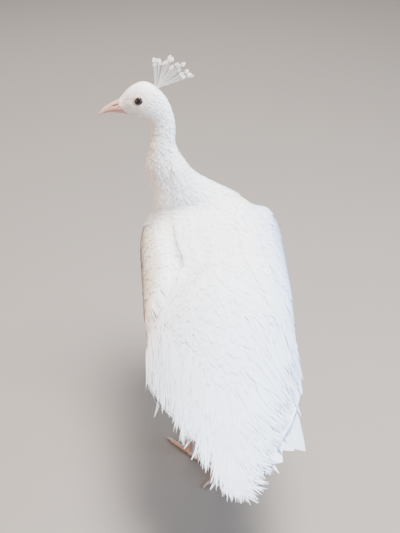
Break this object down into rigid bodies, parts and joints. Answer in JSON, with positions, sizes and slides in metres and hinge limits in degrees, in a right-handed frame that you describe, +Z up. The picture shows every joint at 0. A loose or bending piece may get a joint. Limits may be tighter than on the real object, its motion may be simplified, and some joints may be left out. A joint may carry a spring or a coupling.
{
  "type": "peafowl",
  "caption": "Life-size white peafowl standing with its neck raised and head turned to its left, wings folded, short train and fan crest.",
  "frame": {"origin": "on the floor, below the middle of the bird's bounding box", "axes": "+Z up; the body faces -Y; +X is the bird's left, where its head looks"},
  "size_m": [0.3024, 0.5792, 0.7083],
  "materials": {
    "plumage": "soft feather vanes",
    "bill": "smooth horn",
    "eye": "wet gloss",
    "leg_skin": "scaled skin",
    "claw": "smooth horn"
  },
  "bodies": {
    "root": {"trunk": "plumage", "neck_lower": "plumage", "neck_upper": "plumage", "head": "plumage", "crest": "plumage", "bill_upper": "bill", "bill_lower": "bill", "eye_left": "eye", "eye_right": "eye", "wing_left": "plumage", "wing_right": "plumage", "train": "plumage", "tail": "plumage", "thigh_left": "plumage", "shin_left": "leg_skin", "foot_left": "leg_skin", "claw_left_inner": "claw", "claw_left_middle": "claw", "claw_left_outer": "claw", "claw_left_hind": "claw", "thigh_right": "plumage", "shin_right": "leg_skin", "foot_right": "leg_skin", "claw_right_inner": "claw", "claw_right_middle": "claw", "claw_right_outer": "claw", "claw_right_hind": "claw"}
  },
  "joints": []
}
